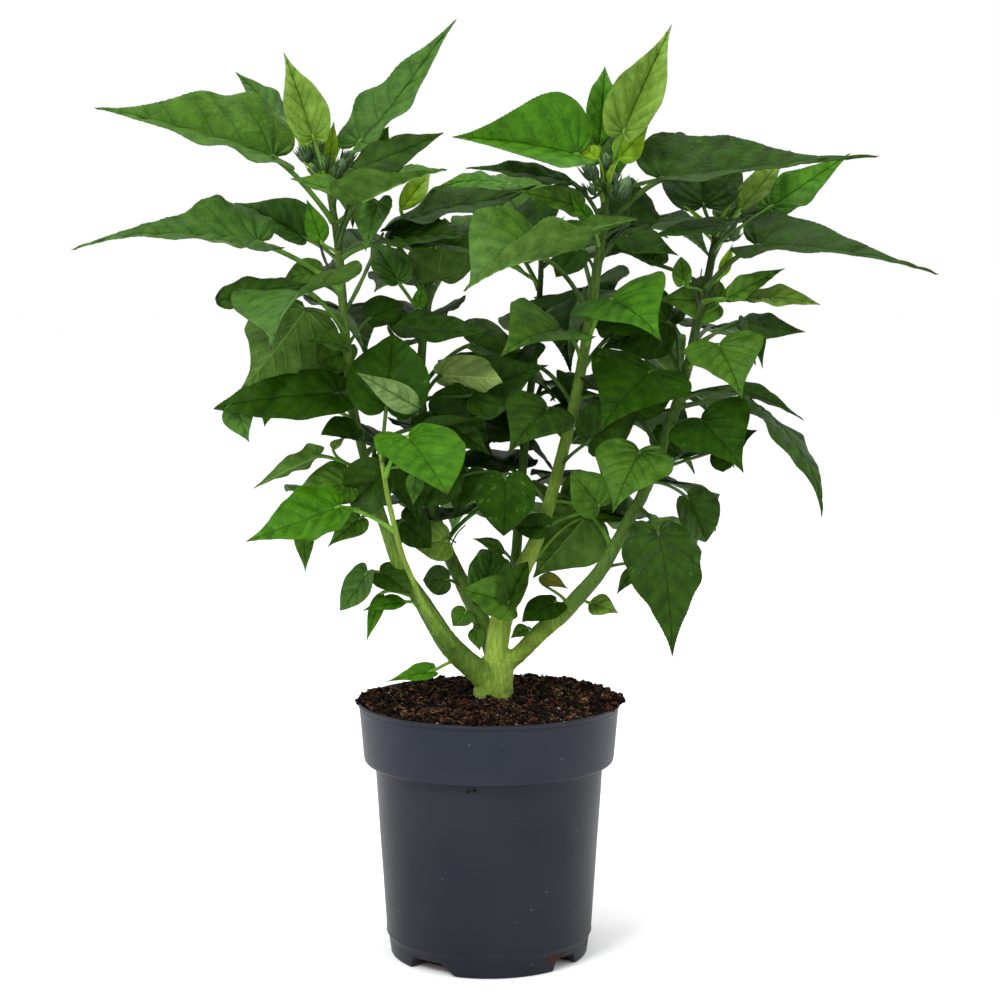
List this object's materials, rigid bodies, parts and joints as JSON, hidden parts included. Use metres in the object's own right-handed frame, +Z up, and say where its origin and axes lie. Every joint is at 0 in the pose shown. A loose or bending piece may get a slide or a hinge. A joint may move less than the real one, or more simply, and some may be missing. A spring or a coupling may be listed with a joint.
{
  "type": "potted hibiscus shrub",
  "caption": "Young hardy hibiscus shrub in a round nursery pot: a short trunk forks into upright stems that carry masses of large pointed leaves and small green buds.",
  "frame": {"origin": "centre of the pot's flat underside", "axes": "+Z up along the pot's axis, +X to the right of the front view, -Y towards the front, where the front stem's shoot and the lowest leaves show"},
  "size_m": [0.592, 0.3622, 0.6696],
  "materials": {
    "pot": "satin dark blue-grey moulded plastic with fine scratches and light specks",
    "soil": "damp dark brown peat with bark chips, white grains and specks of moss",
    "trunk": "pale green young bark with fine lengthwise fibres and leaf scars",
    "stem": "smooth green young stem with leaf nodes, paler and woodier at the foot",
    "leaf": "satin mid to deep green leaf with sunken veins above and raised pale veins below"
  },
  "bodies": {
    "root": {"pot": "pot", "soil": "soil", "trunk": "trunk", "stem_centre": "stem", "stem_left": "stem", "stem_right": "stem", "stem_inner_left": "stem", "shoot_front": "stem", "stem_back": "stem", "foliage_left_top": "leaf", "foliage_left_upper": "leaf", "foliage_left_middle": "leaf", "foliage_left_lower": "leaf", "foliage_front_shoot": "leaf", "foliage_inner_left_top": "leaf", "foliage_inner_left_lower": "leaf", "foliage_centre_top": "leaf", "foliage_centre_upper": "leaf", "foliage_centre_middle": "leaf", "foliage_centre_lower": "leaf", "foliage_right_top": "leaf", "foliage_right_upper": "leaf", "foliage_right_lower": "leaf", "foliage_back_top": "leaf", "foliage_back_lower": "leaf"}
  },
  "joints": []
}
